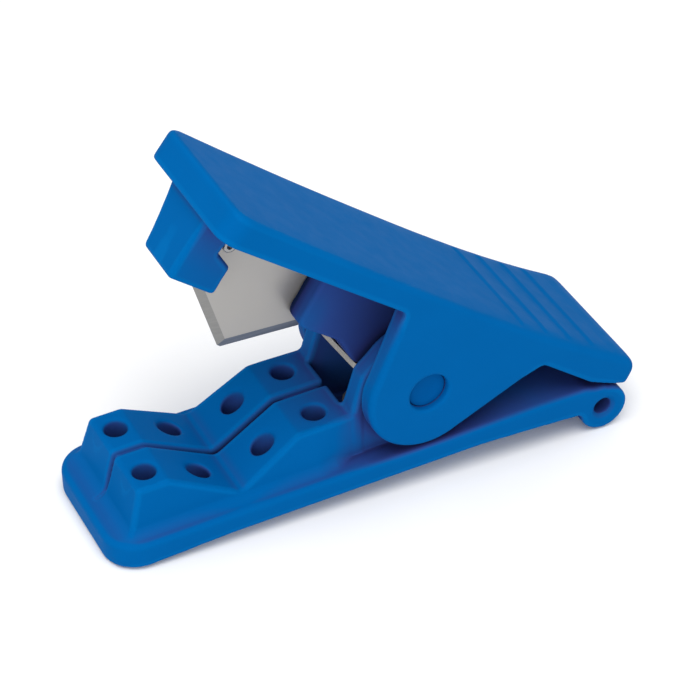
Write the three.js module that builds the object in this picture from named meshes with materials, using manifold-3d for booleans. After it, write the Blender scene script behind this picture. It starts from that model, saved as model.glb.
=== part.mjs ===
// Mini cutter for small plastic tubing: a base jaw with a V-shaped tube seat, and a thumb lever
// that carries a pointed steel blade. The lever turns on a cross pin and is sprung open.
// Millimetres, +Z up. X runs from the jaws (-X) to the tail (+X), and Y across the tool.
// The origin is on the underside of the base plate, straight below the pivot axis.
import * as THREE from "three";
import { mergeVertices } from "three/addons/utils/BufferGeometryUtils.js";
import Module from "manifold-3d";

// ---------------------------------------------------------------- driving dimensions
const GAP = 0.3; // clearance between pieces that touch or run on each other
const OPEN_ANGLE = THREE.MathUtils.degToRad(38.5); // lever above the plate when it is sprung open

// Base jaw
const FRONT_X = -46.3; // front edge of the plate
const BASE_HALF = 11.5; // half the plate's width
const PLATE_TOP = 3.2;
const PLATE_CORNER = 5; // plan radius of the front corners
const PLATE_BEVEL = 0.8; // along the plate's top edge
const BLOCK_TOP = 9.8; // front land of the tube block
const BLOCK_BACK_TOP = 10.1; // rear land of the tube block
const SEAT_X = -27.2; // bottom of the V
const SEAT_Z = 4.4;
const BLOCK_HALF = 8.1; // half the block's width at its lands
const BLOCK_DRAFT = 0.135; // growth of the half width per millimetre down
const BLOCK_FRONT_X = -43.5; // foot of the block's sloping front face
const BLOCK_LAND_X = [-41.8, -37.1]; // front land
const BLOCK_BACK_LAND_X = -18.2; // front edge of the rear land
const SLOT_HALF = 0.6; // half the width of the blade's clearance slot
const SLOT_FLOOR = 1.9;
const CORE_RADIUS = 1.7; // blind core holes in the block
const CORE_Y = 4.8;
const CORE_X = [-39.2, -31.6, -22, -14.3];
const CORE_FLOOR = 2.4;
const WELL_HALF = 5; // half the width of the spring well between the tower's cheeks
const WELL_FRONT = -10.2;
const WELL_REAR = 4.8;
const WELL_FLOOR = 2.2;
const CHEEK_RADIUS = 8.2; // round top of the cheeks, about the pivot
const CHEEK_ARC = [2.43, -0.3]; // angles at which that round top starts and ends
const CHEEK_SHOULDER = [-8.4, 15.9]; // top of the cheeks' sloping front edge
const CHEEK_REAR_X = 7.4;
const TOE_START = -30; // from here the plate's underside drops forward to its front edge
const TOE_DROP = 0.7;
const SWEEP_START = 8; // from here the plate's underside sweeps down to the barrel
const SWEEP_DROP = 1.25;
const BARREL_X = 28.4; // lanyard barrel across the plate's rear edge
const BARREL_Z = -1.05;
const BARREL_RADIUS = 3.6;
const LANYARD_RADIUS = 1.3;
const LANYARD_SINK = 2; // mouth radius of the countersink at each end of the barrel

// Pivot
const PIVOT_Z = 12.5;
const PIN_RADIUS = 2.6;
const PIN_HALF = 10.3; // its ends sit about a millimetre inside the lever's ears

// Lever, in the pose where its underside is parallel to the plate, measured from the pivot
const LEVER_HALF = 11.3;
const UNDERSIDE = 9.5;
const LEVER_FRONT = -44.8;
const LEVER_REAR = 31.9;
const LEVER_CORNER = 3; // plan radius of the front corners
const LEVER_THICKNESS = 3.75; // at the thin part, in front of the pivot
const THIN_X = -13; // the lever grows thicker forward and rearward of here
const FRONT_GROWTH = 0.6;
const TAIL_GROWTH = 1.85;
const EAR_RADIUS = 9;
const EAR_THICKNESS = 2.9;
const NOSE_HALF = 4;
const NOSE_FRONT = -43.8;
const NOSE_FOOT = 0; // flat end of the nose, which lands on the tube block
const NOSE_FOOT_X = [-42.7, -35];
const NOSE_HOOK = [-35.5, 4.3]; // top of the foot's rear face
const NOSE_BACK = [-38.5, 5.6];
const PUSHER_HALF = 4.1;
const PUSHER_ROOT_X = [-21.2, 3.5]; // where the pusher meets the underside
const PUSHER_HEEL = [-20.2, -0.3]; // lower front corner, behind the blade
const PUSHER_STEP = [-12.3, -0.25];
const PUSHER_TOE_X = [-8.3, -4]; // the toe bears on the leaf spring
const PUSHER_TOE = -2.6;
const WEB_Y = [0.7, 2.2]; // web behind the blade
const WEB_X = [-39, -19.5];
const WEB_FOOT = 4.1;
const RIB_X = [8.5, 13.2, 18, 22.5]; // grip ribs across the tail
const RIB_HALF = 10.4;
const RIB_RADIUS = 0.55;
const RIB_RISE = 0.3;

// Blade, from the pivot in the same pose
const BLADE_THICKNESS = 0.6;
const BLADE_TIP = [-26.2, -8.35];
const BLADE_FRONT = [-41.3, 2.8]; // front end of the front cutting edge
const BLADE_REAR = [-16.6, -1.65]; // rear end of the rear cutting edge
const BLADE_BACK = 8.9;
const BLADE_GRIND = 1.25; // depth of the ground faces from the cutting edge
const BLADE_EDGE = 0.12; // thickness left at the cutting edge
const EYELET_X = -34.5;
const EYELET_Z = 5.75;
const EYELET_RADIUS = 0.6;
const EYELET_BORE = 0.38;
const EYELET_FLANGE = 0.98;
const EYELET_FLANGE_THICKNESS = 0.35;
const EYELET_GAP = 0.15; // between the eyelet and the hole it closes

// Leaf spring, from the origin with the lever open
const LEAF = 0.5; // thickness
const LEAF_HALF = 4.6; // half the width
const LEAF_TIP = [-9.1, 15.87];
const LEAF_CLEARANCE = 3.15; // from the pivot axis to the upper leg's middle
const LEAF_BEND = 1.7; // radius of the rear bend
const LEAF_FOOT_X = -6.5;

// ---------------------------------------------------------------- solids
const wasm = await Module();
wasm.setup();

// A closed geometry as a solid that can be joined and cut.
function solid(geometry) {
  const bare = geometry.index ? geometry.toNonIndexed() : geometry.clone();
  bare.deleteAttribute("normal");
  bare.deleteAttribute("uv");
  const merged = mergeVertices(bare, 1e-4);
  return new wasm.Manifold(
    new wasm.Mesh({
      numProp: 3,
      vertProperties: merged.attributes.position.array,
      triVerts: new Uint32Array(merged.index.array),
    }),
  );
}

// A shape drawn in X and Z, extruded across the tool from y0 to y1.
function acrossY(shape, y0, y1, curveSegments = 10) {
  const geometry = new THREE.ExtrudeGeometry(shape, {
    depth: y1 - y0,
    bevelEnabled: false,
    curveSegments,
  });
  geometry.rotateX(Math.PI / 2);
  geometry.translate(0, y1, 0);
  return solid(geometry);
}

// A shape drawn in X and Y, extruded up from z0 to z1.
function upZ(shape, z0, z1, bevel = 0) {
  const geometry = new THREE.ExtrudeGeometry(shape, {
    depth: z1 - z0 - 2 * bevel,
    bevelEnabled: bevel > 0,
    bevelThickness: bevel,
    bevelSize: bevel,
    bevelOffset: -bevel,
    bevelSegments: 2,
    curveSegments: 10,
  });
  geometry.translate(0, 0, z0 + bevel);
  return solid(geometry);
}

function boxSolid([x0, x1], [y0, y1], [z0, z1]) {
  const geometry = new THREE.BoxGeometry(x1 - x0, y1 - y0, z1 - z0);
  geometry.translate((x0 + x1) / 2, (y0 + y1) / 2, (z0 + z1) / 2);
  return solid(geometry);
}

// A cylinder or cone along Y, with radius r0 at y0 and r1 at y1.
function rodY(x, z, r0, y0, y1, r1 = r0, sides = 32) {
  const geometry = new THREE.CylinderGeometry(r1, r0, y1 - y0, sides);
  geometry.translate(x, (y0 + y1) / 2, z);
  return solid(geometry);
}

function rodZ(x, y, r, z0, z1, sides = 20) {
  const geometry = new THREE.CylinderGeometry(r, r, z1 - z0, sides);
  geometry.rotateX(Math.PI / 2);
  geometry.translate(x, y, (z0 + z1) / 2);
  return solid(geometry);
}

// A closed outline whose corners are rounded: each point is [u, v, radius], and the radius may be left out.
function outline(points) {
  const shape = new THREE.Shape();
  const count = points.length;
  points.forEach(([u, v, radius = 0], i) => {
    const corner = new THREE.Vector2(u, v);
    const before = new THREE.Vector2(...points[(i + count - 1) % count].slice(0, 2)).sub(corner);
    const after = new THREE.Vector2(...points[(i + 1) % count].slice(0, 2)).sub(corner);
    const half = Math.acos(before.dot(after) / before.length() / after.length()) / 2;
    const setback = radius / Math.tan(half);
    const start = corner.clone().addScaledVector(before.normalize(), setback);
    const end = corner.clone().addScaledVector(after.normalize(), setback);
    if (i === 0) shape.moveTo(start.x, start.y);
    else shape.lineTo(start.x, start.y);
    if (radius > 0) shape.quadraticCurveTo(u, v, end.x, end.y);
  });
  shape.closePath();
  return shape;
}

// The two copies of a solid that lies on one side of the middle plane.
function bothSides(make) {
  return make(1).add(make(-1));
}

function meshOf(name, made, material) {
  const { numProp, vertProperties, triVerts } = made.getMesh();
  const positions = new Float32Array((vertProperties.length / numProp) * 3);
  for (let i = 0; i < positions.length / 3; i++) {
    positions.set(vertProperties.subarray(i * numProp, i * numProp + 3), i * 3);
  }
  const geometry = new THREE.BufferGeometry();
  geometry.setAttribute("position", new THREE.BufferAttribute(positions, 3));
  geometry.setIndex(new THREE.BufferAttribute(triVerts, 1));
  geometry.computeVertexNormals();
  const mesh = new THREE.Mesh(geometry, material);
  mesh.name = name;
  return mesh;
}

// ---------------------------------------------------------------- materials
const bluePlastic = { color: 0x0061ad, roughness: 0.45, metalness: 0 };
const bladeSteel = { color: 0xaeaba6, roughness: 0.3, metalness: 1 };
const springSteel = { color: 0xc4c2bc, roughness: 0.25, metalness: 1 };

// ---------------------------------------------------------------- base jaw
function plate() {
  const slab = upZ(
    outline([
      [FRONT_X, -BASE_HALF, PLATE_CORNER],
      [BARREL_X - 1, -BASE_HALF],
      [BARREL_X - 1, BASE_HALF],
      [FRONT_X, BASE_HALF, PLATE_CORNER],
    ]),
    -TOE_DROP - 2 * PLATE_BEVEL,
    PLATE_TOP,
    PLATE_BEVEL,
  );
  // Only the top edge is eased, and the underside is flat behind the toe.
  const below = outline([
    [FRONT_X - 1, -TOE_DROP],
    [TOE_START, 0],
    [BARREL_X, 0],
    [BARREL_X, -TOE_DROP - 3 * PLATE_BEVEL],
    [FRONT_X - 1, -TOE_DROP - 3 * PLATE_BEVEL],
  ]);
  return slab.subtract(acrossY(below, -BASE_HALF - 1, BASE_HALF + 1));
}

// The block with the V, seen from the side, cut to a section whose sides have draft.
function tubeBlock() {
  const side = outline([
    [BLOCK_FRONT_X - 1.6, 0.5],
    [BLOCK_FRONT_X, PLATE_TOP],
    [BLOCK_LAND_X[0], BLOCK_TOP, 0.6],
    [BLOCK_LAND_X[1], BLOCK_TOP, 0.8],
    [SEAT_X, SEAT_Z, 0.8],
    [BLOCK_BACK_LAND_X, BLOCK_BACK_TOP, 0.8],
    [WELL_FRONT + 1, BLOCK_BACK_TOP],
    [WELL_FRONT + 1, 0.5],
  ]);
  const foot = BLOCK_HALF + BLOCK_DRAFT * BLOCK_TOP;
  const roof = BLOCK_HALF - BLOCK_DRAFT * (BLOCK_BACK_TOP - BLOCK_TOP + 1);
  const section = new THREE.Shape([
    new THREE.Vector2(-foot, 0),
    new THREE.Vector2(foot, 0),
    new THREE.Vector2(roof, BLOCK_BACK_TOP + 1),
    new THREE.Vector2(-roof, BLOCK_BACK_TOP + 1),
  ]);
  const drafted = new THREE.ExtrudeGeometry(section, { depth: 60, bevelEnabled: false });
  drafted.rotateX(Math.PI / 2);
  drafted.rotateZ(Math.PI / 2);
  drafted.translate(-55, 0, 0);
  return acrossY(side, -12, 12, 4).intersect(solid(drafted));
}

// Two cheeks with round tops that carry the pivot, one on each side of the spring well.
function tower() {
  const shape = new THREE.Shape();
  shape.moveTo(WELL_FRONT, 0.5);
  shape.lineTo(WELL_FRONT, BLOCK_BACK_TOP);
  shape.lineTo(...CHEEK_SHOULDER);
  shape.absarc(0, PIVOT_Z, CHEEK_RADIUS, ...CHEEK_ARC, true);
  shape.lineTo(CHEEK_REAR_X, 0.5);
  shape.closePath();
  return acrossY(shape, -BLOCK_HALF, BLOCK_HALF, 24);
}

// The barrel, and the thicker end of the plate that carries it.
function barrel() {
  const neck = BARREL_X - BARREL_RADIUS;
  const root = outline([
    [SWEEP_START, 1],
    [SWEEP_START, 0],
    [(SWEEP_START + neck) / 2, -0.45 * SWEEP_DROP],
    [neck + 0.3, -SWEEP_DROP],
    [BARREL_X, BARREL_Z],
    [BARREL_X, BARREL_Z + BARREL_RADIUS],
    [BARREL_X - 3, PLATE_TOP],
    [SWEEP_START, PLATE_TOP - PLATE_BEVEL - 0.2],
  ]);
  const tube = rodY(BARREL_X, BARREL_Z, BARREL_RADIUS, -BASE_HALF, BASE_HALF, BARREL_RADIUS, 40);
  return tube.add(acrossY(root, -BASE_HALF, BASE_HALF));
}

function lanyardHole() {
  const bore = rodY(BARREL_X, BARREL_Z, LANYARD_RADIUS, -13, 13, LANYARD_RADIUS, 24);
  const sink = LANYARD_SINK - LANYARD_RADIUS;
  return bore
    .add(rodY(BARREL_X, BARREL_Z, LANYARD_RADIUS, BASE_HALF - sink, BASE_HALF + 0.01, LANYARD_SINK, 24))
    .add(rodY(BARREL_X, BARREL_Z, LANYARD_SINK, -BASE_HALF - 0.01, -BASE_HALF + sink, LANYARD_RADIUS, 24));
}

function baseJaw() {
  let made = plate().add(tubeBlock()).add(tower()).add(barrel());
  made = made.subtract(
    boxSolid([WELL_FRONT, WELL_REAR], [-WELL_HALF, WELL_HALF], [WELL_FLOOR, 30]),
  );
  made = made.subtract(
    boxSolid([WELL_REAR - 0.5, 12], [-WELL_HALF, WELL_HALF], [PIVOT_Z - 4.5, 30]),
  );
  made = made.subtract(
    boxSolid([-43.5, WELL_FRONT + 0.5], [-SLOT_HALF, SLOT_HALF], [SLOT_FLOOR, 30]),
  );
  for (const x of CORE_X) {
    made = made.subtract(bothSides((side) => rodZ(x, side * CORE_Y, CORE_RADIUS, CORE_FLOOR, 30)));
  }
  made = made.subtract(rodY(0, PIVOT_Z, PIN_RADIUS + GAP, -15, 15));
  return made.subtract(lanyardHole());
}

// ---------------------------------------------------------------- lever
// Height of the lever's top above its underside at x: a little more at the jaws, kicked up at the tail.
function leverThickness(x) {
  const from = x - THIN_X;
  const growth = from < 0
    ? FRONT_GROWTH * (from / (LEVER_FRONT - THIN_X)) ** 2
    : TAIL_GROWTH * (from / (LEVER_REAR - THIN_X)) ** 3;
  return LEVER_THICKNESS + growth;
}

function leverBody() {
  const rearTop = LEVER_REAR - 3.4;
  const frontTop = LEVER_FRONT + 1.8;
  const side = new THREE.Shape();
  side.moveTo(LEVER_FRONT + 0.5, UNDERSIDE);
  side.lineTo(LEVER_REAR - 6.9, UNDERSIDE);
  side.lineTo(LEVER_REAR - 2.2, UNDERSIDE + 1.05);
  side.lineTo(LEVER_REAR - 0.3, UNDERSIDE + 1.7);
  side.lineTo(LEVER_REAR, UNDERSIDE + 2.3);
  side.lineTo(LEVER_REAR - 0.5, UNDERSIDE + 3.9);
  side.quadraticCurveTo(
    LEVER_REAR - 1,
    UNDERSIDE + leverThickness(rearTop) + 0.1,
    rearTop,
    UNDERSIDE + leverThickness(rearTop),
  );
  const steps = 16;
  for (let i = 1; i <= steps; i++) {
    const x = THREE.MathUtils.lerp(rearTop, frontTop, i / steps);
    side.lineTo(x, UNDERSIDE + leverThickness(x));
  }
  side.quadraticCurveTo(
    LEVER_FRONT,
    UNDERSIDE + leverThickness(LEVER_FRONT),
    LEVER_FRONT,
    UNDERSIDE + 2.2,
  );
  side.lineTo(LEVER_FRONT, UNDERSIDE + 0.5);
  side.closePath();
  const plan = upZ(
    outline([
      [LEVER_FRONT, -LEVER_HALF, LEVER_CORNER],
      [LEVER_REAR, -LEVER_HALF, 1],
      [LEVER_REAR, LEVER_HALF, 1],
      [LEVER_FRONT, LEVER_HALF, LEVER_CORNER],
    ]),
    UNDERSIDE - 5,
    UNDERSIDE + 15,
  );
  return acrossY(side, -LEVER_HALF - 1, LEVER_HALF + 1).intersect(plan);
}

function ear(side) {
  const shape = new THREE.Shape();
  shape.moveTo(-12.3, UNDERSIDE + 1);
  shape.lineTo(-8.9, -1.4);
  shape.absarc(0, 0, EAR_RADIUS, Math.PI + 0.16, -0.42, false);
  shape.lineTo(15.7, UNDERSIDE + 1);
  shape.closePath();
  const inner = LEVER_HALF - EAR_THICKNESS;
  return side > 0
    ? acrossY(shape, inner, LEVER_HALF, 24)
    : acrossY(shape, -LEVER_HALF, -inner, 24);
}

// The nose reaches down to the tube block, with a foot that hooks back under the blade's front edge.
function nose() {
  return acrossY(
    outline([
      [NOSE_FRONT, UNDERSIDE + 1],
      [NOSE_FRONT, UNDERSIDE],
      [NOSE_FOOT_X[0], NOSE_FOOT, 0.6],
      [NOSE_FOOT_X[1], NOSE_FOOT, 0.6],
      [...NOSE_HOOK, 0.3],
      [...NOSE_BACK, 0.5],
      [NOSE_BACK[0], UNDERSIDE + 1],
    ]),
    -NOSE_HALF,
    NOSE_HALF,
    5,
  );
}

// The pusher holds the back of the blade and bears on the leaf spring.
function pusher() {
  return acrossY(
    outline([
      [PUSHER_ROOT_X[0], UNDERSIDE + 1],
      [...PUSHER_HEEL, 1.5],
      [...PUSHER_STEP, 0.8],
      [PUSHER_TOE_X[0], PUSHER_TOE, 0.5],
      [PUSHER_TOE_X[1], PUSHER_TOE, 0.5],
      [PUSHER_TOE_X[1], 2.4, 0.8],
      [PUSHER_ROOT_X[1], UNDERSIDE + 1],
    ]),
    -PUSHER_HALF,
    PUSHER_HALF,
    5,
  );
}

function gripRibs() {
  return RIB_X.map((x) => {
    const top = UNDERSIDE + leverThickness(x);
    return rodY(x, top + RIB_RISE - RIB_RADIUS, RIB_RADIUS, -RIB_HALF, RIB_HALF, RIB_RADIUS, 16);
  }).reduce((all, rib) => all.add(rib));
}

function leverSolid() {
  const inBlade = BLADE_THICKNESS / 2 + GAP;
  let made = leverBody().add(bothSides(ear)).add(nose()).add(pusher());
  made = made.add(boxSolid(WEB_X, WEB_Y, [WEB_FOOT, UNDERSIDE + 1]));
  made = made.add(gripRibs());
  made = made.subtract(
    boxSolid([BLADE_FRONT[0] - GAP, BLADE_REAR[0] + GAP], [-inBlade, inBlade], [-20, UNDERSIDE]),
  );
  made = made.subtract(eyeletHole());
  return made.subtract(rodY(0, 0, PIN_RADIUS + GAP, -15, 15));
}

// ---------------------------------------------------------------- blade and its eyelet
function eyeletHole() {
  const radius = EYELET_RADIUS + EYELET_GAP;
  return rodY(EYELET_X, EYELET_Z, radius, -BLADE_THICKNESS, WEB_Y[1] + BLADE_THICKNESS, radius, 20);
}

// All that lies inside a cutting edge between its two ground faces, which meet the blade's faces
// at the depth of the grind.
function grind(end) {
  const [tipX, tipZ] = BLADE_TIP;
  const edge = new THREE.Vector2(end[0] - tipX, end[1] - tipZ).normalize();
  const inward = new THREE.Vector3(-edge.y, 0, edge.x).multiplyScalar(Math.sign(edge.x));
  const across = new THREE.Vector3(0, 1, 0);
  const along = inward.clone().cross(across);
  const half = BLADE_THICKNESS / 2;
  const reach = 60;
  const section = new THREE.Shape([
    new THREE.Vector2(0, -BLADE_EDGE / 2),
    new THREE.Vector2(BLADE_GRIND, -half),
    new THREE.Vector2(reach, -half),
    new THREE.Vector2(reach, half),
    new THREE.Vector2(BLADE_GRIND, half),
    new THREE.Vector2(0, BLADE_EDGE / 2),
  ]);
  const geometry = new THREE.ExtrudeGeometry(section, { depth: 2 * reach, bevelEnabled: false });
  geometry.translate(0, 0, -reach);
  geometry.applyMatrix4(
    new THREE.Matrix4().makeBasis(inward, across, along).setPosition(tipX, 0, tipZ),
  );
  return solid(geometry);
}

// Pentagonal blade: two ground edges meet at the point, and the back is square.
function bladeSolid() {
  const side = outline([
    [...BLADE_TIP, 0.2],
    BLADE_REAR,
    [BLADE_REAR[0], BLADE_BACK],
    [BLADE_FRONT[0], BLADE_BACK],
    BLADE_FRONT,
  ]);
  return acrossY(side, -BLADE_THICKNESS, BLADE_THICKNESS, 3)
    .intersect(grind(BLADE_FRONT))
    .intersect(grind(BLADE_REAR))
    .subtract(eyeletHole());
}

// Hollow rivet through the blade and the web, with a rolled flange on each face.
function eyeletSolid() {
  const front = -BLADE_THICKNESS / 2 - EYELET_GAP;
  const back = WEB_Y[1] + EYELET_GAP;
  const profile = [
    [EYELET_BORE, front - EYELET_FLANGE_THICKNESS],
    [EYELET_FLANGE, front - EYELET_FLANGE_THICKNESS],
    [EYELET_FLANGE, front],
    [EYELET_RADIUS, front],
    [EYELET_RADIUS, back],
    [EYELET_FLANGE, back],
    [EYELET_FLANGE, back + EYELET_FLANGE_THICKNESS],
    [EYELET_BORE, back + EYELET_FLANGE_THICKNESS],
    [EYELET_BORE, front - EYELET_FLANGE_THICKNESS],
  ];
  const geometry = new THREE.LatheGeometry(
    profile.map(([r, y]) => new THREE.Vector2(r, y)),
    24,
  );
  geometry.translate(EYELET_X, 0, EYELET_Z);
  return solid(geometry);
}

// ---------------------------------------------------------------- pivot pin
function pinSolid() {
  const chamfer = 0.4;
  const profile = [
    [0, -PIN_HALF],
    [PIN_RADIUS - chamfer, -PIN_HALF],
    [PIN_RADIUS, -PIN_HALF + chamfer],
    [PIN_RADIUS, PIN_HALF - chamfer],
    [PIN_RADIUS - chamfer, PIN_HALF],
    [0, PIN_HALF],
  ];
  const geometry = new THREE.LatheGeometry(
    profile.map(([r, y]) => new THREE.Vector2(r, y)),
    36,
  );
  geometry.translate(0, 0, PIVOT_Z);
  return solid(geometry);
}

// ---------------------------------------------------------------- leaf spring
// One strip: a foot on the well's floor, a bend behind the pivot, and an upper leg that
// passes just under the pin to the tip, where it presses the pusher up.
function leafSolid() {
  const [tipX, tipZ] = LEAF_TIP;
  const footZ = WELL_FLOOR + GAP + LEAF / 2;
  // The upper leg is the line through the tip that clears the pivot axis by LEAF_CLEARANCE.
  const reach = Math.hypot(tipX, tipZ - PIVOT_Z);
  const slope = Math.atan2(PIVOT_Z - tipZ, -tipX) - Math.asin(LEAF_CLEARANCE / reach);
  const along = new THREE.Vector2(Math.cos(slope), Math.sin(slope));
  const up = new THREE.Vector2(-along.y, along.x);
  const bendZ = footZ + LEAF_BEND;
  const bendX = (up.dot(new THREE.Vector2(tipX, tipZ)) - LEAF_BEND - up.y * bendZ) / up.x;
  const start = Math.atan2(up.y, up.x);
  const half = LEAF / 2;
  const shape = new THREE.Shape();
  shape.moveTo(tipX + up.x * half, tipZ + up.y * half);
  shape.absarc(bendX, bendZ, LEAF_BEND + half, start, -Math.PI / 2, true);
  shape.lineTo(LEAF_FOOT_X, footZ - half);
  shape.lineTo(LEAF_FOOT_X, footZ + half);
  shape.absarc(bendX, bendZ, LEAF_BEND - half, -Math.PI / 2, start, false);
  shape.lineTo(tipX - up.x * half, tipZ - up.y * half);
  shape.closePath();
  return acrossY(shape, -LEAF_HALF, LEAF_HALF, 16);
}

// ---------------------------------------------------------------- assembly
const tubeCutter = new THREE.Group();
tubeCutter.name = "tube_cutter";
tubeCutter.add(meshOf("base_jaw", baseJaw(), new THREE.MeshStandardMaterial(bluePlastic)));
tubeCutter.add(meshOf("pivot_pin", pinSolid(), new THREE.MeshStandardMaterial(bluePlastic)));
tubeCutter.add(meshOf("leaf_spring", leafSolid(), new THREE.MeshStandardMaterial(springSteel)));

// The lever and what it carries turn together about the pivot, shown sprung open.
const swing = new THREE.Group();
swing.position.set(0, 0, PIVOT_Z);
swing.rotation.y = OPEN_ANGLE;
swing.add(meshOf("lever", leverSolid(), new THREE.MeshStandardMaterial(bluePlastic)));
swing.add(meshOf("blade", bladeSolid(), new THREE.MeshStandardMaterial(bladeSteel)));
swing.add(meshOf("blade_eyelet", eyeletSolid(), new THREE.MeshStandardMaterial(springSteel)));
tubeCutter.add(swing);

export default tubeCutter;
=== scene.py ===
import math

import bmesh
import bpy
import numpy as np
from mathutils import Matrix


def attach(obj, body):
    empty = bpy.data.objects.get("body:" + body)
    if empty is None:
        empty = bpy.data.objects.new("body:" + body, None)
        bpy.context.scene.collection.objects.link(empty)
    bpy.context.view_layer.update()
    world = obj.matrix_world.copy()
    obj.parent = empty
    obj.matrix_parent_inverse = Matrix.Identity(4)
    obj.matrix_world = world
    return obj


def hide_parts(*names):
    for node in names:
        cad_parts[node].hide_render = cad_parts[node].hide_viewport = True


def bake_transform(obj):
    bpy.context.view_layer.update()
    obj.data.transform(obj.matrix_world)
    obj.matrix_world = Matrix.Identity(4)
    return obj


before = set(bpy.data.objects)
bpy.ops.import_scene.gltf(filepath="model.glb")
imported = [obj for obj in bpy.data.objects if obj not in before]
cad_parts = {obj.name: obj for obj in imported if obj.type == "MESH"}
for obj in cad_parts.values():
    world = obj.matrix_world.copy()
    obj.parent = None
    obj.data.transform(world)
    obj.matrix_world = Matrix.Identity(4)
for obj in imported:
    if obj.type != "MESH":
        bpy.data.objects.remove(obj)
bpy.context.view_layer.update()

import openvdb
from mathutils import Matrix, Vector

MM = 0.001
STEP = 0.25  # spacing of the lattice that the moulded pieces are sampled on, mm
OPEN_REACHES = (1.0, 2.5, 6.0, 12.0)  # how far out the free space round a point is looked at, mm
# Edges felt this way get a painted highlight.
SHARP_DEPTH, SHARP_TURN = 0.9, 0.28  # how deep edges are felt for, mm, and how soon they count
# Openness sets the painted shade in the plastic's colour.
LEAST_ROOM = 0.1  # the least openness of any surface but the face behind the blade

# ------------------------------------------------------------------ dimensions, mm
# Close to the CAD's, with these differences. Some outer edges stand up to 0.4 mm further out to make
# up for their rounding. The barrel, the leaf's tip and the pusher's toe lie up to 0.4 mm away. The
# groove is shallower, and the leaf and the pin's ends are a little stouter.
PIVOT_Z = 12.5
OPEN_ANGLE = math.radians(38.5)
FRONT_X, BASE_HALF, PLATE_TOP = -46.6, 11.5, 3.2
TOE_START, TOE_DROP, SWEEP_START = -30.0, 0.7, 8.0
BLOCK_TOP, BLOCK_BACK_TOP, BLOCK_HALF, BLOCK_DRAFT = 9.8, 10.1, 8.1, 0.135
SEAT_X, SEAT_Z = -27.2, 4.4
SLOT_HALF, GROOVE_DEPTH, GROOVE_LOW = 0.38, 0.8, 2.0  # it keeps above the plate's underside
SWEPT_X, SWEPT_Z = (-37.6, -25.7, -16.2), (9.6, 1.9, 9.2)  # where the closed blade's point dips
CORE_X, CORE_Y, CORE_RADIUS, CORE_FLOOR = (-39.2, -31.6, -22.0, -14.3), 4.8, 1.7, 2.4
WELL_FRONT, WELL_REAR, WELL_HALF, WELL_FLOOR = -10.2, 4.8, 5.0, 2.2
CHEEK_RADIUS, CHEEK_ARC, CHEEK_REAR_X = 8.2, (2.43, -0.3), 7.4
BARREL_X, BARREL_Z, BARREL_RADIUS = 28.1, -1.3, 3.6
LANYARD_RADIUS, LANYARD_SINK = 1.3, 2.0
EJECTOR_X, EJECTOR_Y, EJECTOR_RADIUS, EJECTOR_DEPTH = (-38.0, 14.0), 7.5, 1.6, 0.14
PIN_RADIUS, PIN_HALF, GAP = 2.6, 10.3, 0.3
PIN_EDGE, PIN_ROUND = 2.83, 0.2
PIN_DISH = [(0, 0.16), (0.8, 0.15), (1.5, 0.08), (1.8, 0)]  # (radius, depth) of its dished end
LEVER_HALF, UNDERSIDE, LEVER_FRONT, LEVER_REAR = 11.3, 9.5, -45.0, 31.9
THIN_X, THICKNESS, FRONT_GROWTH, TAIL_GROWTH = -13.0, 3.75, 0.7, 2.2
EAR_INNER, EAR_RADIUS, EAR_RECESS = 8.4, 9.0, 3.8
NOSE_HALF, PUSHER_HALF, PUSHER_X, PUSHER_HEEL_X = 4.0, 4.1, (-21.5, 3.5), -19.5
WEB_Y = (0.7, 2.2)
RIB_X = (8.5, 13.2, 18.0, 22.5)
BLADE_HALF, BLADE_GRIND, BLADE_EDGE, BLADE_BACK = 0.3, 1.25, 0.06, 8.9
BLADE_TIP, BLADE_FRONT, BLADE_REAR = (-26.2, -8.35), (-41.3, 2.8), (-16.6, -1.65)
EYELET_X, EYELET_Z = -34.5, 5.75
LEAF, LEAF_HALF, LEAF_TIP = 0.7, 4.6, (-8.7, 15.87)
LEAF_CLEARANCE, LEAF_BEND, LEAF_FOOT_X = 3.15, 1.7, -6.5
LEAF_TIP_CORNER, LEAF_FOOT_CORNER, LEAF_SLANT = 1.2, 3.0, 0.2
EYELET_NEAR, EYELET_FAR = -0.45, 2.35
FLANGE = [  # (radius, height) round the eyelet's rolled rim
    (0.38, 0.2),
    (0.4, 0.28),
    (0.47, 0.33),
    (0.6, 0.35),
    (0.78, 0.34),
    (0.92, 0.28),
    (0.98, 0.17),
    (0.95, 0.05),
    (0.88, 0),
    (0.6, 0),
]

# The lever and what it carries are worked out from the pivot with the underside level, then
# turned open.
SWING = Matrix.Translation((0, 0, PIVOT_Z * MM)) @ Matrix.Rotation(OPEN_ANGLE, 4, "Y")


# ------------------------------------------------------------------ distance fields
def outline(corners, pieces=6):
    """A closed outline with rounded corners: each corner is (u, v) or (u, v, radius)."""
    made = []
    for i, corner in enumerate(corners):
        here = Vector(corner[:2])
        radius = corner[2] if len(corner) > 2 else 0
        if not radius:
            made.append(tuple(here))
            continue
        before = (Vector(corners[i - 1][:2]) - here).normalized()
        after = (Vector(corners[(i + 1) % len(corners)][:2]) - here).normalized()
        half = before.angle(after) / 2
        back = radius / math.tan(half)
        centre = here + (before + after).normalized() * (radius / math.sin(half))
        start = here + before * back - centre
        turn = start.angle_signed(here + after * back - centre)
        for k in range(pieces + 1):
            a = -turn * k / pieces
            c, s = math.cos(a), math.sin(a)
            arm = Vector((c * start.x - s * start.y, s * start.x + c * start.y))
            made.append(tuple(centre + arm))
    return made


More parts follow.
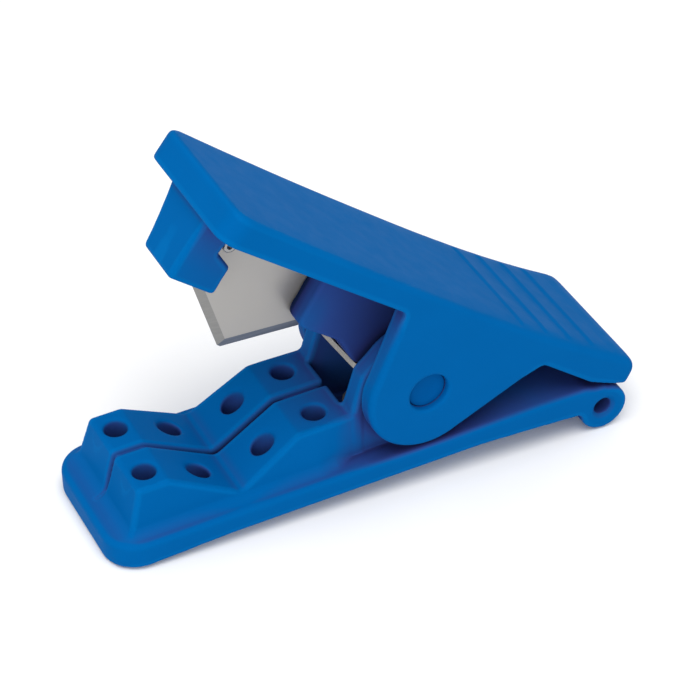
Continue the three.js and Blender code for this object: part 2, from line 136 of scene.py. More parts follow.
def polygon(points, u, v):
    """Signed distance to a closed outline in a plane, negative inside."""
    u, v = np.broadcast_arrays(u, v)
    nearest = np.full(u.shape, np.inf)
    inside = np.zeros(u.shape, bool)
    for (u0, v0), (u1, v1) in zip(points, points[1:] + points[:1]):
        du, dv = u1 - u0, v1 - v0
        length2 = du * du + dv * dv
        if length2 < 1e-12:
            continue
        t = np.clip(((u - u0) * du + (v - v0) * dv) / length2, 0, 1)
        nearest = np.minimum(nearest, (u - u0 - t * du) ** 2 + (v - v0 - t * dv) ** 2)
        if dv:
            inside ^= ((v0 > v) != (v1 > v)) & (u < u0 + du * (v - v0) / dv)
    return np.where(inside, -1, 1) * np.sqrt(nearest)


def join(a, b, radius):
    """Both solids, with a fillet in the corner between them."""
    return np.maximum(radius, np.minimum(a, b)) - np.hypot(
        np.maximum(radius - a, 0), np.maximum(radius - b, 0)
    )


def meet(a, b, radius):
    """What two solids share, with the edge where their surfaces cross rounded."""
    return np.minimum(-radius, np.maximum(a, b)) + np.hypot(
        np.maximum(radius + a, 0), np.maximum(radius + b, 0)
    )


def cut(a, b, radius):
    """The first solid without the second, with the rim of the cut rounded."""
    return meet(a, -b, radius)


def span(v, low, high):
    return np.abs(v - (low + high) / 2) - (high - low) / 2


def lattice(low, high):
    axes = [np.arange(a, b, STEP) for a, b in zip(low, high)]
    return axes[0][:, None, None], axes[1][None, :, None], axes[2][None, None, :]


def sample(field, points):
    """The field and its slope at points given in lattice units."""
    base = np.clip(np.floor(points).astype(int), 0, np.array(field.shape) - 2)
    f = points - base
    value = np.zeros(len(points))
    slope = np.zeros((len(points), 3))
    for corner in np.ndindex(2, 2, 2):
        at = field[tuple((base + corner).T)]
        weight = [f[:, k] if corner[k] else 1 - f[:, k] for k in range(3)]
        value += at * weight[0] * weight[1] * weight[2]
        for k in range(3):
            others = [weight[j] for j in range(3) if j != k]
            slope[:, k] += at * (1 if corner[k] else -1) * others[0] * others[1]
    return value, slope


def skin(field, low):
    """The surface where the field is zero, as points in mm and quads."""
    grid = openvdb.FloatGrid(3.0)
    grid.copyFromArray(field.astype(np.float32))
    points, quads = grid.convertToQuads(isovalue=0)
    points = points.astype(float)
    for _ in range(3):
        value, slope = sample(field, points)
        pull = value / np.maximum((slope**2).sum(1), 1e-6)
        points -= np.clip(pull[:, None] * slope, -0.5, 0.5)
    _, slope = sample(field, points)
    normals = slope / np.maximum(np.linalg.norm(slope, axis=1, keepdims=True), 1e-6)
    return points * STEP + np.array(low), quads, normals


def openness(points, normals, solids):
    """How much free space lies in front of each point and above it, from 0 to 1. Each solid is a
    field, its lattice's low corner, and the turn and origin of its frame."""
    lifted = normals + np.array((0, 0, 0.8))
    lifted /= np.linalg.norm(lifted, axis=1, keepdims=True)
    total = np.zeros(len(points))
    for way in (normals, lifted):
        for reach in OPEN_REACHES:
            probe = points + way * reach
            room = np.full(len(points), reach)
            for field, low, turn, origin in solids:
                there = ((probe - origin) @ turn - np.array(low)) / STEP
                held = np.clip(there, 0, np.array(field.shape) - 1.001)
                away = np.linalg.norm(there - held, axis=1) * STEP
                room = np.minimum(room, sample(field, held)[0] + away)
            total += np.clip(room / reach, 0, 1)
    return total / (2 * len(OPEN_REACHES))


def sharpness(field, points, normals, low):
    """1 along convex edges and 0 on flat or hollow surfaces."""
    inner = (points - normals * SHARP_DEPTH - np.array(low)) / STEP
    return np.clip((1 + sample(field, inner)[0] / SHARP_DEPTH) / SHARP_TURN, 0, 1)


def store(piece, name, values):
    attribute = piece.data.attributes.new(name, "FLOAT", "POINT")
    attribute.data.foreach_set("value", np.asarray(values, np.float32))


def mesh_piece(name, points, faces, matrix=None):
    """A smooth-shaded object from points in mm and faces."""
    mesh = bpy.data.meshes.new(name)
    mesh.from_pydata((np.asarray(points) * MM).tolist(), [], [list(map(int, f)) for f in faces])
    if matrix is not None:
        mesh.transform(matrix)
    mesh.validate()
    mesh.shade_smooth()
    piece = bpy.data.objects.new(name, mesh)
    bpy.context.scene.collection.objects.link(piece)
    return piece


# ------------------------------------------------------------------ base jaw
def base_field(low, high):
    x, y, z = lattice(low, high)
    across = np.abs(y)
    neck = BARREL_X - BARREL_RADIUS
    plate_side = polygon(
        outline(
            [
                (FRONT_X - 4, -TOE_DROP - 0.1),
                (FRONT_X + 1, -TOE_DROP, 6),
                (TOE_START, 0, 20),
                (SWEEP_START, 0, 12),
                ((SWEEP_START + neck) / 2, -0.56, 20),
                (neck + 0.4, -1.25),
                (BARREL_X, -1.25),
                (BARREL_X, BARREL_Z + BARREL_RADIUS),
                (BARREL_X - 3, PLATE_TOP, 2),
                (FRONT_X - 4, PLATE_TOP),
            ]
        ),
        x,
        z,
    )
    barrel = np.hypot(x - BARREL_X, z - BARREL_Z) - BARREL_RADIUS
    plate_side = join(plate_side, barrel, 0.8)
    plan = polygon(
        outline(
            [
                (FRONT_X, -BASE_HALF, 5),
                (BARREL_X + 9, -BASE_HALF),
                (BARREL_X + 9, BASE_HALF),
                (FRONT_X, BASE_HALF, 5),
            ],
            10,
        ),
        x,
        y,
    )
    plate = meet(plate_side, plan, np.interp(z, [-4, 0, 1.0, 2.1], [0.5, 0.25, 0.4, 0.85]))

    block_side = polygon(
        outline(
            [
                (-45.1, 0.5),
                (-43.5, PLATE_TOP, 6),
                (-41.6, BLOCK_TOP + 0.12, 0.7),
                (-37.0, BLOCK_TOP + 0.12, 1.3),
                (SEAT_X, SEAT_Z, 1.0),
                (-18.2, BLOCK_BACK_TOP, 1.4),
                (WELL_FRONT + 1.5, BLOCK_BACK_TOP),
                (WELL_FRONT + 1.5, 0.5),
            ]
        ),
        x,
        z,
    )
    # The draft and its extra width fade out before the ears of the lever.
    fade = np.interp(x, [-15.5, -9.2], [1, 0])
    drafted = across - (BLOCK_HALF + fade * (0.25 + BLOCK_DRAFT * (BLOCK_TOP - z)))
    block = meet(block_side, drafted, 0.4)

    arc = [
        (CHEEK_RADIUS * math.cos(a), PIVOT_Z + CHEEK_RADIUS * math.sin(a))
        for a in np.linspace(*CHEEK_ARC, 30)
    ]
    front = [(WELL_FRONT, 0.5), (WELL_FRONT, BLOCK_BACK_TOP, 3), (-8.4, 15.9, 1.5)]
    tower_side = polygon(outline(front + arc + [(CHEEK_REAR_X, 0.5)]), x, z)
    tower = meet(tower_side, across - BLOCK_HALF, 0.6)
    upper = join(block, tower, 0.5)
    body = join(plate, upper, np.interp(x, [-13, -10.5], [1.4, 0.2]))

    well = meet(span(x, WELL_FRONT, WELL_REAR), across - WELL_HALF, 0.5)
    well = meet(well, WELL_FLOOR - z, 0.6)
    gate = meet(span(x, WELL_REAR - 0.5, 12), across - WELL_HALF, 0.3)
    well = join(well, meet(gate, PIVOT_Z - 4.5 - z, 0.5), 0.3)
    body = cut(body, well, 0.45)
    # The groove is full width behind the front face and runs out towards its foot.
    full = np.maximum(np.interp(z, [3.0, 6.5], [0, 1]), np.interp(x, [-42.0, -40.6], [0, 1]))
    slot = meet(across - SLOT_HALF * full, span(x, -44.5, WELL_FRONT + 0.5), 0.2)
    # It is shallow except where the closed blade dips into the block.
    swept = np.interp(x, SWEPT_X, SWEPT_Z) - z
    shallow = np.maximum(-GROOVE_DEPTH - body, GROOVE_LOW - z)
    body = cut(body, meet(slot, np.minimum(swept, shallow), 0.3), 0.5)
    for core_x in CORE_X:
        radius = CORE_RADIUS - 0.25 + 0.02 * (z - CORE_FLOOR)
        hole = np.hypot(x - core_x, across - CORE_Y) - radius
        body = cut(body, meet(hole, CORE_FLOOR - z, 0.5), 0.5)
    body = cut(body, np.hypot(x, z - PIVOT_Z) - PIN_RADIUS - GAP, 0.2)

    sink = LANYARD_SINK - LANYARD_RADIUS
    radius = LANYARD_RADIUS + np.clip(across - (BASE_HALF - sink), 0, sink + 1)
    body = cut(body, np.hypot(x - BARREL_X, z - BARREL_Z) - radius, 0.25)

    # Ejector marks under the plate.
    for mark_x in EJECTOR_X:
        mark = np.hypot(x - mark_x, across - EJECTOR_Y) - EJECTOR_RADIUS
        body = cut(body, np.maximum(mark, z - EJECTOR_DEPTH), 0.05)
    return body


# ------------------------------------------------------------------ lever
def lever_thickness(x):
    """The thumb plate is thinnest at THIN_X and thickens towards both ends."""
    ahead = np.minimum(x - THIN_X, 0) / (LEVER_FRONT - THIN_X)
    behind = np.maximum(x - THIN_X, 0) / (LEVER_REAR - THIN_X)
    return THICKNESS + FRONT_GROWTH * ahead**2 + TAIL_GROWTH * behind**3


def lever_field(low, high):
    x, y, z = lattice(low, high)
    across = np.abs(y)
    top = [(u, UNDERSIDE + float(lever_thickness(u))) for u in np.linspace(27.9, -43.0, 50)]
    slab = polygon(
        outline(
            [
                (LEVER_FRONT, UNDERSIDE, 0.5),
                (25.2, UNDERSIDE, 4),
                (29.8, UNDERSIDE + 1.05, 3),
                (31.5, UNDERSIDE + 1.6, 0.4),
                (31.75, UNDERSIDE + 2.4, 0.4),
                (31.2, UNDERSIDE + 5.2, 1.9),
                (29.4, top[0][1] + 0.05),
            ]
            + top
            + [(LEVER_FRONT, UNDERSIDE + 4.46, 1.0)]
        ),
        x,
        z,
    )
    arc = [
        (EAR_RADIUS * math.cos(a), EAR_RADIUS * math.sin(a))
        for a in np.linspace(math.pi + 0.157, 2 * math.pi - 0.42, 30)
    ]
    ear_side = polygon([(-12.3, UNDERSIDE + 1)] + arc + [(15.7, UNDERSIDE + 1)], x, z)
    ears = meet(ear_side, EAR_INNER - across, 0.4)
    body = join(slab, ears, 0.6)

    nose_side = polygon(
        outline(
            [
                (-43.8, UNDERSIDE + 1),
                (-43.8, UNDERSIDE),
                (-42.8, 0.05, 0.6),
                (-35.0, -0.1, 0.6),
                (-35.5, 4.3, 0.3),
                (-38.5, 5.6, 0.5),
                (-38.6, UNDERSIDE + 1),
            ]
        ),
        x,
        z,
    )
    flare = np.clip((z - 0.2) / (UNDERSIDE - 0.2), 0, 1) ** 1.6
    nose = meet(nose_side, across - (NOSE_HALF + 0.1 + 1.2 * flare), 0.6)
    body = join(body, nose, 0.3)

    pusher_side = polygon(
        outline(
            [
                (-21.2, UNDERSIDE + 1),
                (-20.2, -0.3, 1.6),
                (-12.3, -0.25, 0.8),
                (-8.2, -2.35, 0.6),
                (-4, -2.45, 0.6),
                (-4, 2.4, 0.8),
                (3.5, UNDERSIDE + 1),
            ]
        ),
        x,
        z,
    )
    pusher = meet(pusher_side, across - PUSHER_HALF, 0.5)
    body = join(body, pusher, 0.9)
    web = np.maximum(meet(span(x, -39, -19.5), 4.1 - z, 0.4), span(y, *WEB_Y))
    body = join(body, np.maximum(web, z - UNDERSIDE - 1), 0.25)

    plan = polygon(
        outline(
            [
                (LEVER_FRONT, -LEVER_HALF, 3.0),
                (LEVER_REAR, -LEVER_HALF, 1.0),
                (LEVER_REAR, LEVER_HALF, 1.0),
                (LEVER_FRONT, LEVER_HALF, 3.0),
            ],
            10,
        ),
        x,
        y,
    )
    # The top edge is a little rounder over the thumb rest than at the front.
    top_edge = np.interp(x, [-40, -20, 2, 20], [0.7, 0.8, 0.9, 1.0])
    high = np.clip((z - UNDERSIDE - 0.6) / 1.8, 0, 1)
    edge = np.interp(z, [UNDERSIDE - 3, UNDERSIDE - 0.6], [0.8, 0.3]) * (1 - high) + top_edge * high
    body = meet(body, plan, edge)

    kerf = span(x, BLADE_FRONT[0] - GAP, BLADE_REAR[0] + GAP)
    kerf = meet(across - (BLADE_HALF + GAP), kerf, 0.2)
    body = cut(body, meet(kerf, z - UNDERSIDE, 0.2), 0.15)
    hole = np.hypot(x - EYELET_X, z - EYELET_Z) - 0.75
    body = cut(body, np.maximum(hole, across - 3), 0.1)
    return cut(body, np.hypot(x, z) - PIN_RADIUS - GAP, 0.45)


def top_relief(points):
    """The crown of the thumb rest, and grip ribs across it: each rises steeply at its front and
    fades out behind."""
    x, y, z = points.T
    relief = np.zeros(len(points))
    for rib_x in RIB_X:
        s = x - rib_x
        relief = np.maximum(relief, np.interp(s, [-0.3, 0.1, 0.5, 3.6], [0, 0.2, 0.18, 0]))
    on_top = np.clip((z - UNDERSIDE - lever_thickness(x) + 1.0) / 0.7, 0, 1)
    ends = np.clip((LEVER_HALF - 0.9 - np.abs(y)) / 1.0, 0, 1)
    side = np.clip((np.abs(y) - 7.5) / (LEVER_HALF - 7.5), 0, 1) ** 2
    side = side * np.interp(x, [-30, 0], [0.1, 0.3])
    behind = 0.35 * np.clip((x - 27.3) / 4.5, 0, 1) ** 2
    crown = np.hypot(side, behind) * np.clip((z - UNDERSIDE - 1.5) / 2.5, 0, 1)
    return relief * on_top * ends - crown


# ------------------------------------------------------------------ turned and flat pieces
def lathe(name, profile, sides, centre, matrix=None, closed=False):
    """A turned solid about an axis along Y. The profile is (radius, y), and an open one starts and
    ends on the axis."""
    points, rings = [], []
    for radius, y in profile:
        if radius == 0:
            rings.append([len(points)] * sides)
            points.append((centre[0], y, centre[1]))
            continue
        rings.append(list(range(len(points), len(points) + sides)))
        for k in range(sides):
            a = 2 * math.pi * k / sides
            points.append((centre[0] + radius * math.cos(a), y, centre[1] + radius * math.sin(a)))
    faces = []
    pairs = list(zip(rings, rings[1:])) + ([(rings[-1], rings[0])] if closed else [])
    for a, b in pairs:
        for k in range(sides):
            n = (k + 1) % sides
            face = []
            for v in (a[k], a[n], b[n], b[k]):
                if v not in face:
                    face.append(v)
            faces.append(face)
    piece = mesh_piece(name, points, faces, matrix)
    face_outwards(piece)
    return piece


def face_outwards(piece):
    work = bmesh.new()
    work.from_mesh(piece.data)
    bmesh.ops.recalc_face_normals(work, faces=work.faces)
    work.to_mesh(piece.data)
    work.free()


def ease_edges(piece, width, segments=2, angle=12):
    bevel = piece.modifiers.new("eased_edges", "BEVEL")
    bevel.width = width * MM
    bevel.segments = segments
    bevel.limit_method = "ANGLE"
    bevel.angle_limit = math.radians(angle)
    bevel.harden_normals = True


def crossing(a, b, c, d):
    """Where the line through a and b crosses the line through c and d."""
    a, b, c, d = map(Vector, (a, b, c, d))
    u, v = b - a, d - c
    t = (c - a).cross(v) / u.cross(v)
    return tuple(a + u * t)


def blade_piece():
    tip, front, rear = Vector(BLADE_TIP), Vector(BLADE_FRONT), Vector(BLADE_REAR)
    inward_front = (front - tip).orthogonal().normalized()
    inward_rear = (rear - tip).orthogonal().normalized()
    inward_front *= math.copysign(BLADE_GRIND, inward_front.y)
    inward_rear *= math.copysign(BLADE_GRIND, inward_rear.y)
    f0, f1 = tip + inward_front, front + inward_front
    r0, r1 = tip + inward_rear, rear + inward_rear
    # A blunted point: the very tip is taken off.
    blunt = 0.35
    tip_f = tip + (front - tip).normalized() * blunt
    tip_r = tip + (rear - tip).normalized() * blunt
    edge = [tip_f, tip_r, rear, (rear.x, BLADE_BACK), (front.x, BLADE_BACK), front]
    flat = [
        crossing(f0, f1, r0, r1),
        crossing(f0, f1, r0, r1),
        crossing(r0, r1, (rear.x, 0), (rear.x, 1)),
        (rear.x, BLADE_BACK),
        (front.x, BLADE_BACK),
        crossing(f0, f1, (front.x, 0), (front.x, 1)),
    ]
    halves = [BLADE_EDGE, BLADE_EDGE, BLADE_EDGE, BLADE_HALF, BLADE_HALF, BLADE_EDGE]
    points, index = [], {}

    def at(p, y):
        key = (round(p[0], 4), round(y, 4), round(p[1], 4))
        if key not in index:
            index[key] = len(points)
            points.append(key)
        return index[key]

    faces = []
    n = len(edge)
    for side in (-1, 1):
        ring = []
        for i in range(n):
            v = at(flat[i], side * BLADE_HALF)
            if v not in ring:
                ring.append(v)
        faces.append(ring)
        for i in range(n):
            j = (i + 1) % n
            face = []
            for v in (
                at(edge[i], side * halves[i]),
                at(edge[j], side * halves[j]),
                at(flat[j], side * BLADE_HALF),
                at(flat[i], side * BLADE_HALF),
            ):
                if v not in face:
                    face.append(v)
            if len(face) > 2:
                faces.append(face)
    for i in range(n):
        j = (i + 1) % n
        faces.append(
            [
                at(edge[i], -halves[i]),
                at(edge[j], -halves[j]),
                at(edge[j], halves[j]),
                at(edge[i], halves[i]),
            ]
        )
    piece = mesh_piece("ground_blade", points, faces, SWING)
    face_outwards(piece)
    # The ground faces are those that lean out of the blade's plane: front edge, then rear edge.
    for polygon_face in piece.data.polygons:
        normal = SWING.to_3x3().inverted() @ polygon_face.normal
        if 0.05 < abs(normal.y) < 0.99:
            polygon_face.material_index = 1 if normal.x < -0.05 else 2
    ease_edges(piece, 0.05)
    return piece


def leaf_piece():
    """The spring strip: a foot, a round bend behind the pivot, and an upper leg whose tip is cut a
    little aslant."""
    tip_x, tip_z = LEAF_TIP
    foot_z = WELL_FLOOR + GAP + LEAF / 2
    reach = math.hypot(tip_x, tip_z - PIVOT_Z)
    slope = math.atan2(PIVOT_Z - tip_z, -tip_x) - math.asin(LEAF_CLEARANCE / reach)
    along = Vector((math.cos(slope), math.sin(slope)))
    up = Vector((-along.y, along.x))
    bend_z = foot_z + LEAF_BEND
    bend_x = (up.dot(Vector(LEAF_TIP)) - LEAF_BEND - up.y * bend_z) / up.x
    bend = Vector((bend_x, bend_z))
    start = bend + up * LEAF_BEND
    leg = (start - Vector(LEAF_TIP)).length
    path = []  # (middle, outward normal, distance to the nearer end)
    for s in list(np.linspace(0, 3, 16)) + list(np.linspace(3.5, leg, 24)):
        path.append((Vector(LEAF_TIP) + along * s, up, s))
    a0 = math.atan2(up.y, up.x)
    for a in np.linspace(a0, -math.pi / 2, 22)[1:]:
        normal = Vector((math.cos(a), math.sin(a)))
        path.append((bend + normal * LEAF_BEND, normal, 9))
    foot = bend_x - LEAF_FOOT_X
    for s in list(np.linspace(0, foot - 2, 16))[1:] + list(np.linspace(foot - 1.8, foot, 10)):
        path.append((Vector((bend_x - s, foot_z)), Vector((0, -1)), foot - s))
    columns = 15
    rows = []
    points = []
    for middle, normal, end in path:
        upper = middle.y > PIVOT_Z
        corner = LEAF_TIP_CORNER if upper else LEAF_FOOT_CORNER
        lost = corner - math.sqrt(max(corner**2 - max(corner - end, 0) ** 2, 0))
        half = LEAF_HALF - lost
        row = []
        for side in (1, -1):
            for k in range(columns):
                y = half * (2 * k / (columns - 1) - 1)
                slant = LEAF_SLANT * max(2.5 - y, 0) * max(1 - end / 3, 0) if upper else 0
                p = middle + normal * (side * LEAF / 2) + along * slant
                row.append(len(points))
                points.append((p.x, y, p.y))
        rows.append(row)
    faces = []
    for a, b in zip(rows, rows[1:]):
        for k in range(columns - 1):
            faces.append([a[k], a[k + 1], b[k + 1], b[k]])
            faces.append([a[columns + k + 1], a[columns + k], b[columns + k], b[columns + k + 1]])
        for k in (0, columns - 1):
            faces.append([a[k], b[k], b[columns + k], a[columns + k]])
    for row in (rows[0], rows[-1]):
        for k in range(columns - 1):
            faces.append([row[k], row[k + 1], row[columns + k + 1], row[columns + k]])
    piece = mesh_piece("spring_strip", points, faces)
    face_outwards(piece)
    ease_edges(piece, 0.08, 2, 40)
    return piece


# ------------------------------------------------------------------ materials
def material(name):
    made = bpy.data.materials.new(name)
    made.use_nodes = True
    tree = made.node_tree
    tree.nodes.clear()
    out = tree.nodes.new("ShaderNodeOutputMaterial")
    shader = tree.nodes.new("ShaderNodeBsdfPrincipled")
    tree.links.new(shader.outputs["BSDF"], out.inputs["Surface"])
    return made, tree, shader


def noise(tree, scale, detail=2.0, stretch=(1, 1, 1), turn=(0, 0, 0)):
    """Noise in the part's own coordinates; the scale is in cells per metre."""
    place = tree.nodes.new("ShaderNodeTexCoord")
    mapping = tree.nodes.new("ShaderNodeMapping")
    mapping.inputs["Scale"].default_value = stretch
    mapping.inputs["Rotation"].default_value = turn
    texture = tree.nodes.new("ShaderNodeTexNoise")
    texture.inputs["Scale"].default_value = scale
    texture.inputs["Detail"].default_value = detail
    tree.links.new(place.outputs["Object"], mapping.inputs["Vector"])
    tree.links.new(mapping.outputs["Vector"], texture.inputs["Vector"])
    return texture


def ramp(tree, source, low, high, start=0.3, end=0.7):
    """Maps a texture to a range of values or colours."""
    made = tree.nodes.new("ShaderNodeValToRGB")
    for element, position, value in zip(made.color_ramp.elements, (start, end), (low, high)):
        element.position = position
        element.color = (*value, 1) if isinstance(value, tuple) else (value, value, value, 1)
    tree.links.new(source, made.inputs["Fac"])
    return made.outputs["Color"]


def bump(tree, shader, height, strength, distance):
    made = tree.nodes.new("ShaderNodeBump")
    made.inputs["Strength"].default_value = strength
    made.inputs["Distance"].default_value = distance
    tree.links.new(height, made.inputs["Height"])
    tree.links.new(made.outputs["Normal"], shader.inputs["Normal"])


def plastic(name, shade_colours, roughness):
    """Moulded plastic: slight flow mottling, a fine eroded skin and uneven gloss. The colour also
    holds
    painted shade: the listed colours go by how open the surface is, darker and more violet where
    there is little room. Convex edges get a painted highlight towards a lighter blue."""
    made, tree, shader = material(name)
    # Painted shade: the colour darkens towards violet as the room attribute falls.
    room = tree.nodes.new("ShaderNodeAttribute")
    room.attribute_name = "room"
    deep = tree.nodes.new("ShaderNodeValToRGB")
    while len(deep.color_ramp.elements) < len(shade_colours):
        deep.color_ramp.elements.new(0.5)
    for element, (position, colour) in zip(deep.color_ramp.elements, shade_colours):
        element.position = position
        element.color = (*colour, 1)
    tree.links.new(room.outputs["Fac"], deep.inputs["Fac"])
    flow = noise(tree, 90, 3, (1, 2, 1.5))
    mottle = tree.nodes.new("ShaderNodeMix")
    mottle.data_type = "RGBA"
    mottle.blend_type = "MULTIPLY"
    mottle.inputs["Factor"].default_value = 1
    tree.links.new(deep.outputs["Color"], mottle.inputs["A"])
    tree.links.new(ramp(tree, flow.outputs["Fac"], 0.96, 1.0), mottle.inputs["B"])
    # Painted highlight: convex edges, from the ridge attribute, are mixed towards a lighter blue.
    edge_highlight = tree.nodes.new("ShaderNodeAttribute")
    edge_highlight.attribute_name = "ridge"
    lift = tree.nodes.new("ShaderNodeMix")
    lift.data_type = "RGBA"
    tree.links.new(ramp(tree, edge_highlight.outputs["Fac"], 0.0, 0.3, 0.2, 1.0), lift.inputs["Factor"])
    tree.links.new(mottle.outputs["Result"], lift.inputs["A"])
    lift.inputs["B"].default_value = (0.0, 0.16, 0.46, 1)
    tree.links.new(lift.outputs["Result"], shader.inputs["Base Color"])
    gloss = noise(tree, 420, 3)
    tree.links.new(
        ramp(tree, gloss.outputs["Fac"], roughness - 0.04, roughness + 0.05),
        shader.inputs["Roughness"],
    )
    grain = noise(tree, 5200, 2)
    bump(tree, shader, grain.outputs["Fac"], 0.1, 0.00004)
    shader.inputs["Specular IOR Level"].default_value = 0.006
    return made


def steel(name, dark, light, roughness, turn, metallic=1.0, scale=2600):
    """Sheet steel with fine lines from grinding or rolling."""
    made, tree, shader = material(name)
    lines = noise(tree, scale, 3, (0.03, 1, 1), turn)
    tree.links.new(ramp(tree, lines.outputs["Fac"], dark, light), shader.inputs["Base Color"])
    tree.links.new(
        ramp(tree, lines.outputs["Fac"], roughness - 0.05, roughness + 0.06),
        shader.inputs["Roughness"],
    )
    bump(tree, shader, lines.outputs["Fac"], 0.06, 0.00003)
    shader.inputs["Metallic"].default_value = metallic
    return made


# The colours by openness are painted shade: nearly black in closed hollows, violet where there is
# little room, the plastic's own blue in the open.
blue = plastic(
    "moulded_blue",
    [
        (0.0, (0.002, 0.010, 0.03)),
        (0.1, (0.021, 0.03, 0.135)),
        (0.5, (0.022, 0.06, 0.24)),
        (0.88, (0.0, 0.104, 0.34)),
    ],
    0.42,
)
# The pin's blue is a little darker than the moulded blue: painted shade for its ends in the ears'
# recesses. With no room attribute on the pin, its first colour is the one drawn.
pin_blue = plastic("pin_blue", [(0.0, (0.0, 0.082, 0.29)), (1.0, (0.0, 0.095, 0.32))], 0.47)
blade_steel = steel(
    "ground_steel", (0.395, 0.38, 0.36), (0.405, 0.39, 0.368), 0.4, (0, 0.9, 0), 0.5
)
# The two ground bevels are the blade's steel in darker copies, painted shade by the way each faces:
# the front one somewhat darker, the rear one dark and bluish.
front_bevel = steel(
    "front_bevel_steel", (0.25, 0.245, 0.235), (0.29, 0.285, 0.27), 0.4, (0, 0, 0), 0.7
)
rear_bevel = steel(
    "rear_bevel_steel", (0.12, 0.14, 0.18), (0.16, 0.18, 0.22), 0.4, (0, 1.2, 0), 0.7
)
spring_steel = steel(
    "rolled_steel", (0.34, 0.325, 0.3), (0.39, 0.375, 0.345), 0.5, (0, 0.6, 1.5708), 0.3
)
rivet_steel = steel("rivet_steel", (0.3, 0.3, 0.3), (0.36, 0.36, 0.36), 0.3, (0, 0, 0))


def dress(piece, *looks):
    for look in looks:
        piece.data.materials.append(look)


# ------------------------------------------------------------------ the pieces
BASE_LOW, BASE_HIGH = (-47.7, -12.375, -5.7), (32.5, 12.4, 21.8)
LEVER_LOW, LEVER_HIGH = (-45.8, -12.375, -10.1), (33.1, 12.4, 16.3)
moulded_base_field = base_field(BASE_LOW, BASE_HIGH)
moulded_lever_field = lever_field(LEVER_LOW, LEVER_HIGH)
turn = np.array(SWING.to_3x3())
origin = np.array((0, 0, PIVOT_Z))
solids = [
    (moulded_base_field, BASE_LOW, np.eye(3), np.zeros(3)),
    (moulded_lever_field, LEVER_LOW, turn, origin),
]

base_points, base_quads, base_normals = skin(moulded_base_field, BASE_LOW)
base = mesh_piece("moulded_base", base_points, base_quads)
# Painted shade: how open each point is, with both pieces in place, darkens the colour in corners,
# hollows, between the pieces and under the lever.
store(base, "room", np.maximum(openness(base_points, base_normals, solids), LEAST_ROOM))
# Painted highlight along the base's convex edges, left off round the core holes.
base_ridge = sharpness(moulded_base_field, base_points, base_normals, BASE_LOW)
for core_x in CORE_X:
    rim = np.hypot(base_points[:, 0] - core_x, np.abs(base_points[:, 1]) - CORE_Y)
    base_ridge[rim < CORE_RADIUS + 1.3] = 0
store(base, "ridge", base_ridge)
dress(base, blue)
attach(base, "base")
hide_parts("base_jaw")

lever_points, lever_quads, lever_normals = skin(moulded_lever_field, LEVER_LOW)
lever_x, lever_y, lever_z = lever_points.T
# Painted shade on the lever as on the base, from the same openness.
lever_room = openness(lever_points @ turn.T + origin, lever_normals @ turn.T, solids)
lever_room = np.maximum(lever_room, LEAST_ROOM)
# The shallow recesses round the pin's ends get no painted shade, so they are as light as the ears.
recess = (np.hypot(lever_x, lever_z) < EAR_RECESS) & (np.abs(lever_y) > PIN_HALF)
lever_room[recess] = 1
# Painted shade on the pusher, which lies in the lever's shade: least at its heel, most on the face
# behind the blade.
under = (lever_x > PUSHER_X[0]) & (lever_x < PUSHER_X[1]) & (lever_z < UNDERSIDE - 0.3)
under &= np.abs(lever_y) < PUSHER_HALF + 0.2
shade = 0.5 + 0.28 * np.exp(-(((lever_x - PUSHER_HEEL_X) / 3.5) ** 2))
lever_room[under] *= shade[under]
behind_blade = under & (lever_normals[:, 0] < -0.6)
# The face behind the blade gets the deepest painted shade, lightening towards its near side where y
# falls below -1.3 mm.
lever_room[behind_blade] *= np.clip((-1.3 - lever_y[behind_blade]) / 1.6, 0.05, 1)
# Painted highlight along the lever's convex edges, left off in the recesses and on the pusher.
lever_ridge = sharpness(moulded_lever_field, lever_points, lever_normals, LEVER_LOW)
lever_ridge[recess | under] = 0
lever_points[:, 2] += top_relief(lever_points)
lever = mesh_piece("moulded_lever", lever_points, lever_quads, SWING)
store(lever, "room", lever_room)
store(lever, "ridge", lever_ridge)
dress(lever, blue)
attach(lever, "lever")
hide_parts("lever")

pin_end = [(r, depth - PIN_HALF) for r, depth in PIN_DISH]
pin_end += [
    (PIN_EDGE - PIN_ROUND * (1 - math.sin(a)), PIN_ROUND * (1 - math.cos(a)) - PIN_HALF)
    for a in np.linspace(0, math.pi / 2, 7)
]
pin_side = [(PIN_EDGE, y) for y in (-6.0, -2.0, 2.0, 6.0)]
pin_profile = pin_end + pin_side + [(r, -y) for r, y in reversed(pin_end)]
pin = lathe("pivot_pin_turned", pin_profile, 96, (0, PIVOT_Z))
dress(pin, pin_blue)
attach(pin, "base")
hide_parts("pivot_pin")

blade = blade_piece()
dress(blade, blade_steel, front_bevel, rear_bevel)
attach(blade, "lever")
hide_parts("blade")

eyelet_profile = [(r, EYELET_NEAR - y) for r, y in FLANGE]
eyelet_profile += [(r, EYELET_FAR + y) for r, y in reversed(FLANGE)]
eyelet = lathe("rolled_eyelet", eyelet_profile, 48, (EYELET_X, EYELET_Z), SWING, True)
dress(eyelet, rivet_steel)
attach(eyelet, "lever")
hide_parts("blade_eyelet")

leaf = leaf_piece()
dress(leaf, spring_steel)
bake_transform(leaf)
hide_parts("leaf_spring")

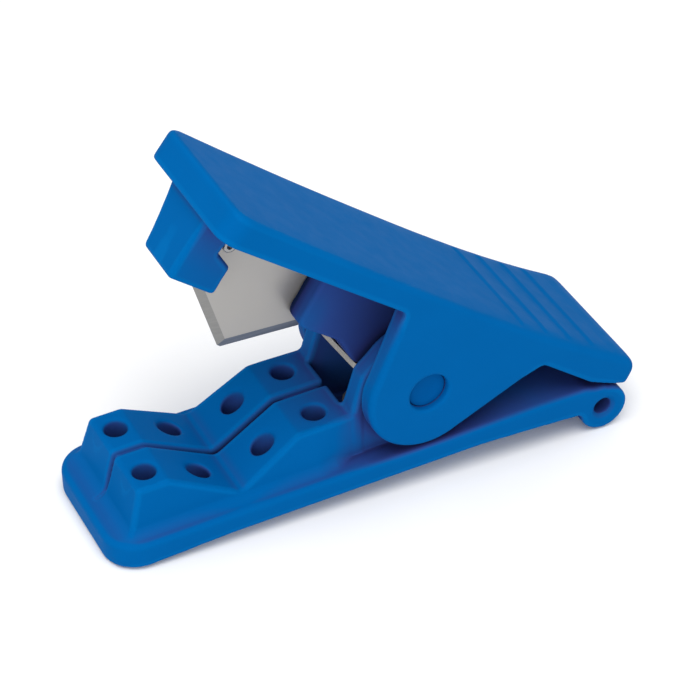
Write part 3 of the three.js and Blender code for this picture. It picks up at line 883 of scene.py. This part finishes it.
# ------------------------------------------------------------------ floor, light and camera
# The tool stands on the plate's front edge and the lanyard barrel, so the floor leans a little.
reach_x = BARREL_X - FRONT_X
drop = -BARREL_Z - TOE_DROP
lean = math.atan2(drop, reach_x) + math.asin(BARREL_RADIUS / math.hypot(reach_x, drop))
floor_mesh = bpy.data.meshes.new("floor")
floor_half = 3.0
corners = ((-1, -1), (1, -1), (1, 1), (-1, 1))
floor_corners = [(u * floor_half, v * floor_half, 0) for u, v in corners]
floor_mesh.from_pydata(floor_corners, [], [(0, 1, 2, 3)])
floor = bpy.data.objects.new("floor", floor_mesh)
bpy.context.scene.collection.objects.link(floor)
floor.location = (FRONT_X * MM, 0, (-TOE_DROP - 0.15) * MM)
floor.rotation_euler = (0, lean, 0)
paper, paper_tree, paper_shader = material("pale_floor")
paper_noise = noise(paper_tree, 60, 2)
paper_tree.links.new(
    ramp(paper_tree, paper_noise.outputs["Fac"], (0.93, 0.93, 0.93), (0.95, 0.95, 0.95)),
    paper_shader.inputs["Base Color"],
)
paper_shader.inputs["Roughness"].default_value = 0.9
dress(floor, paper)

world = bpy.data.worlds.new("studio")
world.use_nodes = True
world.node_tree.nodes["Background"].inputs["Color"].default_value = (1.0, 1.0, 1.0, 1)
world.node_tree.nodes["Background"].inputs["Strength"].default_value = 0.72
bpy.context.scene.world = world


def area_light(name, place, aim, size, power):
    data = bpy.data.lights.new(name, "AREA")
    data.shape = "DISK"
    data.size = size
    data.energy = power
    lamp = bpy.data.objects.new(name, data)
    bpy.context.scene.collection.objects.link(lamp)
    lamp.location = place
    lamp.rotation_euler = (Vector(aim) - Vector(place)).to_track_quat("-Z", "Y").to_euler()


area_light("overhead", (-0.05, -0.15, 0.6), (0, 0, 0), 0.5, 2.2)
area_light("front_fill", (-0.45, -0.45, 0.3), (0, 0, 0), 0.4, 1.1)

# Camera: azimuth and elevation of the view, its roll, and where the middle of the frame looks.
AZIMUTH, ELEVATION, ROLL = math.radians(-26.37), math.radians(39.47), math.radians(0.96)
DISTANCE, AIM, ASIDE = 347.28, Vector((-11.3, 0, 8)), (-4.41, -6.31)
FOCAL, FRAME_SIDE = 2533.68, 700  # focal length and side of the square frame, in the same unit
back = Vector(
    (
        math.sin(AZIMUTH) * math.cos(ELEVATION),
        -math.cos(AZIMUTH) * math.cos(ELEVATION),
        math.sin(ELEVATION),
    )
)
level = Vector((math.cos(AZIMUTH), math.sin(AZIMUTH), 0))
upright = back.cross(level)
right = level * math.cos(ROLL) - upright * math.sin(ROLL)
up = level * math.sin(ROLL) + upright * math.cos(ROLL)
eye = AIM + back * DISTANCE - right * ASIDE[0] - up * ASIDE[1]
camera_data = bpy.data.cameras.new("camera")
camera_data.sensor_width = 36
camera_data.lens = FOCAL / FRAME_SIDE * camera_data.sensor_width
camera_data.clip_start = 0.01
camera_data.clip_end = 20
camera = bpy.data.objects.new("camera", camera_data)
bpy.context.scene.collection.objects.link(camera)
camera.matrix_world = Matrix.Translation(eye * MM) @ Matrix((right, up, back)).transposed().to_4x4()
bpy.context.scene.camera = camera
bpy.context.scene.view_settings.view_transform = "Standard"
